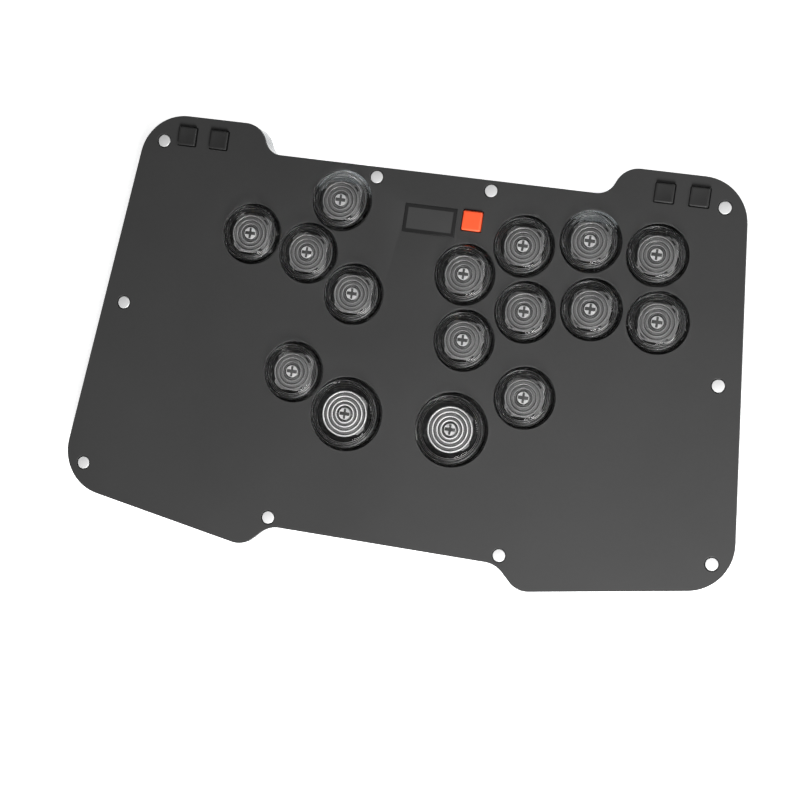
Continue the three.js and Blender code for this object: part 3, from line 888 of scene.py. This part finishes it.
def cap_rings(name, crests, edge, crest_highlight):
    """A thin ring whose upper side has a round ridge at each crest radius, and a groove inside it."""
    profile = [(RING_BORE, RING_LOW, 0), (edge, RING_LOW, 0.1), (edge, RING_FLOOR, 0.05)]
    for crest in reversed(crests):
        inside = crest - CREST_HALF
        profile += [(crest + CREST_HALF, RING_FLOOR, 0.03), (crest + CREST_HALF * 0.5, RING_HIGH, 0.08),
                    (crest - CREST_HALF * 0.5, RING_HIGH, 0.08), (inside, RING_FLOOR, 0.03),
                    (inside - GROOVE / 2, RING_FLOOR - 0.12, 0.03), (inside - GROOVE, RING_FLOOR, 0.02)]
    piece = turned(name, profile + [(RING_BORE, RING_FLOOR, 0)], steps=80, ring=True)
    # crests take the painted highlight and grooves the painted shade
    for finish in (RING_BAND, crest_highlight, RING_GROOVE_SHADE):
        piece.data.materials.append(finish)
    for face in piece.data.polygons:
        if face.center.z < (RING_LOW + 0.05) * MM:
            continue
        for crest in crests:
            reach = face.center.xy.length / MM - crest
            if abs(reach) < CREST_HALF + 0.02:
                face.material_index = 1
            elif -CREST_HALF - GROOVE - 0.02 < reach < 0:
                face.material_index = 2
    return piece


# %% The post
POST_RADIUS, POST_TOP, SLOT_GAP = 2.35, CEILING - 0.05, 0.06


def cap_post(name):
    post = turned(name, [(0, CROSS_LOW + 0.3, 0), (2.2, CROSS_LOW + 0.3, 0.1),
                         (POST_RADIUS, CROSS_LOW + 0.8, 0.1), (POST_RADIUS, POST_TOP, 0.12),
                         (0, POST_TOP, 0)], steps=48)
    slot_low = CROSS_LOW - 1
    cut(post, cross(slot_low, CEILING - slot_low + 1,
                    CROSS_LONG + SLOT_GAP, CROSS_WIDE + SLOT_GAP, CROSS_THIN + SLOT_GAP))
    return post


# %% Assemble the two sizes and copy them
def cap_pattern(name, radius, crests, edge, crest_highlight):
    shell = cap_shell(name, radius)
    rings = cap_rings(name + "_rings", crests, edge, crest_highlight)
    post = cap_post(name + "_post")
    post.data.materials.append(POST)
    for piece in (shell, rings, post):
        settle(piece, 35)
        remember_place(piece)
    return shell, rings, post


PATTERNS = {
    SMALL_CAP: cap_pattern("small_cap", SMALL_CAP, [3.8, 5.4, 7.0], 7.4, RING_HIGHLIGHT_SOFT),
    LARGE_CAP: cap_pattern("large_cap", LARGE_CAP, [3.55, 5.15, 6.95, 8.7], 9.2, RING_HIGHLIGHT_STRONG)}
for i, name in enumerate(BUTTONS):
    shell, rings, post = PATTERNS[BUTTON_RADIUS[name]]
    number = f"{i + 1:02d}"
    place_copy(shell, "cap_shell_" + number, name, "button_" + number, "cap_clear", name)
    place_copy(rings, "cap_rings_" + number, name, "button_" + number, "cap_clear")
    place_copy(post, "cap_post_" + number, name, "button_" + number, "cap_clear")
for patterns in PATTERNS.values():
    for pattern in patterns:
        bpy.data.objects.remove(pattern)
print(len(BUTTONS), "caps")

# %% [markdown]
# ## Function keys
#
# Each square key is one moulding: a flange that stays under the plate, and a shaft that comes
# up through it, with a shallow square dish on top. It starts as the flange's box, and the top
# face is inset and raised. The black keys' sides are coloured darker than their tops, as painted
# shade. Under each key sits the small tact switch that it presses.

# %% Keys
FLANGE_REACH, FLANGE_THICK, DISH_MARGIN = 0.42, 1.0, 1.1


def pick_corner_edges(x, y, reach):
    """Select the upright edges at the four corners of a square."""
    pick("edges", lambda edge: all(
        abs(abs(v.co.x - x) - reach) < MERGE and abs(abs(v.co.y - y) - reach) < MERGE
        for v in edge.verts))


def square_key(name, node, half, dish, body, slot, finish, side_shade=None):
    """half is half the shaft's width, and dish the dish's depth."""
    x, y = at(node)
    foot, top = height(node, 0), height(node, 1)
    wide = 2 * (half + FLANGE_REACH)
    key = block(name, x, y, foot, (wide, wide, FLANGE_THICK))
    edit(key)
    pick("faces", lambda face: face.normal.z > 0.9)
    bpy.ops.mesh.inset(thickness=FLANGE_REACH * MM)
    bpy.ops.mesh.extrude_region_move(
        TRANSFORM_OT_translate={"value": (0, 0, (top - foot - FLANGE_THICK) * MM)})
    bpy.ops.mesh.inset(thickness=DISH_MARGIN * MM)
    bpy.ops.transform.translate(value=(0, 0, -dish * MM))
    pick_corner_edges(x * MM, y * MM, half * MM)
    bpy.ops.mesh.bevel(offset=KEY_CORNER * MM, segments=4, affect="EDGES")
    bpy.ops.object.mode_set(mode="OBJECT")
    soften_edges(key, 0.18, segments=3, angle=25)
    settle(key, 25)
    if side_shade:
        # the upright sides take the near-black painted shade
        two_finishes(key, finish, side_shade, lambda face: abs(face.normal.z) < 0.3)
    else:
        key.data.materials.append(finish)
    belong(key, body, slot, node)


for i, name in enumerate(BLACK_KEYS):
    square_key(f"black_key_{i + 1:02d}", name, BLACK_HALF, 0.18, f"key_{i + 1:02d}",
               "key_black", KEY_BLACK, KEY_SIDE_SHADE)
square_key("orange_key", "menu_key", ORANGE_HALF, 0.06, "menu", "key_orange", KEY_ORANGE)

# %% Tact switches under the keys
TACT, PLUNGER_RADIUS, KEY_CLEARANCE = (6.0, 6.0, 2.4), 1.7, 0.37
for i, name in enumerate(BLACK_KEYS + ["menu_key"]):
    x, y = at(name)
    tact = block(f"tact_switch_{i + 1:02d}", x, y, BOARD_HIGH, TACT)
    plunger_high = height(name, 0) - KEY_CLEARANCE
    merge_in(tact, rod(x, y, PLUNGER_RADIUS, BOARD_HIGH + 1, plunger_high, 32))
    soften_edges(tact, 0.12)
    on_panel(tact, CHIP, "switch_black")
print(len(BLACK_KEYS) + 1, "square keys")

# %% [markdown]
# ## Display window
#
# The window is a smoked acrylic pane let into the plate, with a black border printed on it. The
# pane's top face is inset once, which gives the border and the clear middle as separate faces.
# The middle's smoked grey is lightened as a painted reflection of the glass.

# %% Window
BORDER = 1.35
window = block("smoked_window", window_x, window_y, height("display_window", 0), tuple(window_size))
edit(window)
pick("faces", lambda face: face.normal.z > 0.9)
bpy.ops.mesh.inset(thickness=BORDER * MM)
bpy.ops.object.mode_set(mode="OBJECT")
window.data.materials.append(WINDOW_BORDER)
window.data.materials.append(WINDOW_PANE_SHEEN)
largest = max((f for f in window.data.polygons if f.normal.z > 0.9), key=lambda f: f.area)
largest.material_index = 1
soften_edges(window, 0.12)
settle(window)
belong(window, "panel", "window_smoke", "display_window")

# %% [markdown]
# ## On the board
#
# The processor is a flat square package with a row of leads on each side. Near it are a memory
# chip, a crystal and small ceramic capacitors. On the underside each switch leaves a centre peg
# and two solder joints, which show through the clear base.

# %% Chips and small parts
chip_x, chip_y = at("processor_chip")
chip_size = (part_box("processor_chip")[1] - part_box("processor_chip")[0]) / MM


def package(name, x, y, size, finish, slot, *nodes):
    piece = block(name, x, y, BOARD_HIGH, size)
    soften_edges(piece, 0.1)
    on_panel(piece, finish, slot, *nodes)


package("processor_package", chip_x, chip_y, tuple(chip_size), CHIP, "chip", "processor_chip")
package("memory_chip", chip_x - 9, chip_y + 1, (5.0, 4.0, 0.8), CHIP, "chip")
package("crystal_can", chip_x + 7.5, chip_y - 1, (3.2, 2.5, 0.7), STEEL, "socket_steel")
LEAD_LONG, LEAD_WIDE, LEAD_TALL, LEADS_A_SIDE, LEAD_PITCH = 0.7, 0.22, 0.15, 12, 0.5
leads = []
for k in range(LEADS_A_SIDE):
    along = (k - (LEADS_A_SIDE - 1) / 2) * LEAD_PITCH
    for side in (-1, 1):
        reach = side * (chip_size.x / 2 + 0.25)
        leads.append(block("lead", chip_x + reach, chip_y + along, BOARD_HIGH,
                           (LEAD_LONG, LEAD_WIDE, LEAD_TALL)))
        leads.append(block("lead", chip_x + along, chip_y + reach, BOARD_HIGH,
                           (LEAD_WIDE, LEAD_LONG, LEAD_TALL)))
on_panel(joined(leads, "processor_leads"), SOLDER, "socket_steel")
CAPACITORS, CAPACITOR = 10, (1.0, 0.55, 0.5)
capacitors = []
for k in range(CAPACITORS):
    turn = 2 * math.pi * k / CAPACITORS
    spot = (chip_x + 6.6 * math.cos(turn), chip_y - 7.5 + 2.2 * math.sin(turn))
    capacitors.append(block("capacitor", *spot, BOARD_HIGH, CAPACITOR))
ceramics = joined(capacitors, "ceramic_capacitors")
soften_edges(ceramics, 0.08, segments=1)
on_panel(ceramics, CERAMIC, "chip")
print(len(leads), "leads and", CAPACITORS, "capacitors")

# %% Solder joints and pegs under the board
UNDER = BOARD_LOW - 0.01
joint = turned("joint_pattern", [
    (0, BOARD_LOW - 0.55, 0), (0.35, BOARD_LOW - 0.5, 0), (0.55, BOARD_LOW - 0.25, 0),
    (0.95, UNDER, 0), (0, UNDER, 0)], steps=12)
settle(joint, 60)
peg = turned("peg_pattern", [
    (0, BOARD_LOW - 0.6, 0), (1.9, BOARD_LOW - 0.6, 0.2), (2.2, BOARD_LOW - 0.3, 0.2),
    (2.2, UNDER, 0), (0, UNDER, 0)], steps=24)
settle(peg, 30)
joints, pegs = [], []
for i, name in enumerate(BUTTONS):
    spot = middle(name)
    pegs.append(copy_to(peg, f"peg_{i}", *spot.xy))
    joints.append(copy_to(joint, f"joint_a_{i}", spot.x, spot.y - 5.9 * MM))
    joints.append(copy_to(joint, f"joint_b_{i}", spot.x + 5.0 * MM, spot.y - 3.8 * MM))
for pattern in (joint, peg):
    bpy.data.objects.remove(pattern)
joints, pegs = joined(joints, "solder_joints"), joined(pegs, "switch_pegs")
joints.data.materials.append(SOLDER)
pegs.data.materials.append(HOUSING_BASE)
remember_place(pegs)
belong(joints, "panel", "socket_steel")
belong(pegs, "panel", "switch_black")
print("board parts done")

# %% [markdown]
# ## USB-C socket
#
# The socket is a drawn steel shell with round ends and a black tongue with gold contacts. The
# shell is drawn flat as a round-ended slab, stood up to face the rear, and hollowed from its
# mouth.

# %% Socket
socket_low, socket_high = (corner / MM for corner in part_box("usb_c_socket"))
socket_mid = (socket_low.z + socket_high.z) / 2
socket_size = socket_high - socket_low
SOCKET_WALL = 0.3


def upright_slab(name, width, tall, rear, front):
    """A round-ended slab, drawn flat and then stood up to face along Y."""
    half_x, half_z, bend = width / 2, tall / 2, tall / 2 - 0.02
    corners = [(half_x, half_z, bend), (half_x, -half_z, bend),
               (-half_x, -half_z, bend), (-half_x, half_z, bend)]
    piece = slab(name, rounded(corners, step=15), -front, -rear)
    focus(piece)
    bpy.ops.transform.rotate(value=math.pi / 2, orient_axis="X", center_override=(0, 0, 0))
    bpy.ops.transform.translate(value=(0, 0, socket_mid * MM))
    bpy.ops.object.transform_apply(location=True, rotation=True, scale=True)
    return piece


shell = upright_slab("socket_shell", socket_size.x, socket_size.z, socket_low.y, socket_high.y)
cut(shell, [upright_slab("mouth", socket_size.x - 2 * SOCKET_WALL, socket_size.z - 2 * SOCKET_WALL,
                         socket_low.y + 1.0, socket_high.y + 1)])
soften_edges(shell, 0.08)
on_panel(shell, STEEL, "socket_steel", "usb_c_socket")
tongue = block("socket_tongue", 0, socket_low.y + 3.3, socket_mid - 0.35, (6.7, 4.6, 0.7))
soften_edges(tongue, 0.12)
on_panel(tongue, CHIP, "chip")
CONTACTS, CONTACT_PITCH, CONTACT = 12, 0.5, (0.25, 3.6, 0.04)
strips = [block("contact", (k - (CONTACTS - 1) / 2) * CONTACT_PITCH, socket_low.y + 3.6,
                socket_mid + side * 0.37 - 0.02, CONTACT)
          for k in range(CONTACTS) for side in (-1, 1)]
on_panel(joined(strips, "socket_contacts"), GOLD, "socket_steel")
print("socket", [round(size, 2) for size in socket_size], "with", len(strips), "contacts")

# %% [markdown]
# ## Feet
#
# Four soft rubber discs, turned with a rounded edge and a shallow hollow under the middle.

# %% Rubber feet
FOOT_RADIUS, HOLLOW_DEEP = 7.0, 0.12
foot = turned("foot_pattern", [
    (0, HOLLOW_DEEP, 0), (4.6, HOLLOW_DEEP, 0.1), (4.9, 0, 0.1), (FOOT_RADIUS - 0.5, 0, 0.5),
    (FOOT_RADIUS, BASE_LOW - 0.2, 0.3), (FOOT_RADIUS - 0.1, BASE_LOW, 0.05), (0, BASE_LOW, 0)], steps=64)
settle(foot, 35)
foot.data.materials.append(RUBBER)
FEET = [f"foot_{k + 1:02d}" for k in range(4)]
for name in FEET:
    place_copy(foot, f"rubber_{name}", name, "panel", "rubber", name)
bpy.data.objects.remove(foot)
print(len(FEET), "feet")

# %% [markdown]
# ## Studio: floor, camera and lights
#
# The floor is plain and pale, and glows a little so that it stays near white. The main soft light
# stands in front, to the right of the middle, so that the matt plate grows lighter toward it. A
# weaker one stands further away on the right, and a dim even sky fills the shadows. The camera
# looks down steeply, rolled a little, through a moderately long lens.

# %% Floor
clear_selection()
FLOOR_DROP = 0.05  # below the feet, whose undersides would otherwise share its plane
bpy.ops.mesh.primitive_plane_add(size=8, location=(0, 0, -FLOOR_DROP * MM))
floor = added("studio_floor")
FLOOR = bpy.data.materials.new("studio_floor_paper")
FLOOR.use_nodes = True
paper = FLOOR.node_tree.nodes["Principled BSDF"].inputs
paper["Base Color"].default_value = grey(0.86)
paper["Roughness"].default_value = 0.6
paper["Emission Color"].default_value = grey(1)
paper["Emission Strength"].default_value = 0.8
floor.data.materials.append(FLOOR)

# %% Camera
TARGET = Vector((-0.64, -17.52, PLATE_HIGH)) * MM
TOWARD = Vector((-0.24167, -0.00443, -0.97035)).normalized()
DISTANCE, ROLL, LENS = 801.9 * MM, math.radians(8.36), 91.8
camera_data = bpy.data.cameras.new("camera")
camera_data.lens, camera_data.sensor_width = LENS, 36
camera = bpy.data.objects.new("camera", camera_data)
bpy.context.scene.collection.objects.link(camera)
camera.location = TARGET - TOWARD * DISTANCE
sideways = TOWARD.cross(Vector((0, 1, 0))).normalized()
upward = sideways.cross(TOWARD).normalized()
right = sideways * math.cos(ROLL) + upward * math.sin(ROLL)
camera.rotation_mode = "QUATERNION"
camera.rotation_quaternion = Matrix((right, right.cross(TOWARD), -TOWARD)).transposed().to_quaternion()
bpy.context.scene.camera = camera
print("camera right axis", [round(c, 4) for c in right])

# %% Lights
def soft_light(name, place, size, power):
    """A square lamp aimed at the middle of the panel."""
    clear_selection()
    bpy.ops.object.light_add(type="AREA", location=place)
    lamp = bpy.context.object
    lamp.name = name
    lamp.data.shape = "RECTANGLE"
    lamp.data.size = lamp.data.size_y = size
    lamp.data.energy = power
    lamp.rotation_mode = "QUATERNION"
    lamp.rotation_quaternion = (-Vector(place)).to_track_quat("-Z", "Y")


soft_light("key_light", (0.18, -0.5, 0.42), 0.3, 8.5)
soft_light("right_light", (0.9, 0.3, 0.8), 0.5, 5)
SKY_STRENGTH = 0.08
world = bpy.data.worlds.new("studio_sky")
world.use_nodes = True
world.node_tree.nodes["Background"].inputs["Color"].default_value = grey(1)
world.node_tree.nodes["Background"].inputs["Strength"].default_value = SKY_STRENGTH
bpy.context.scene.world = world
bpy.context.scene.view_settings.view_transform = "Standard"
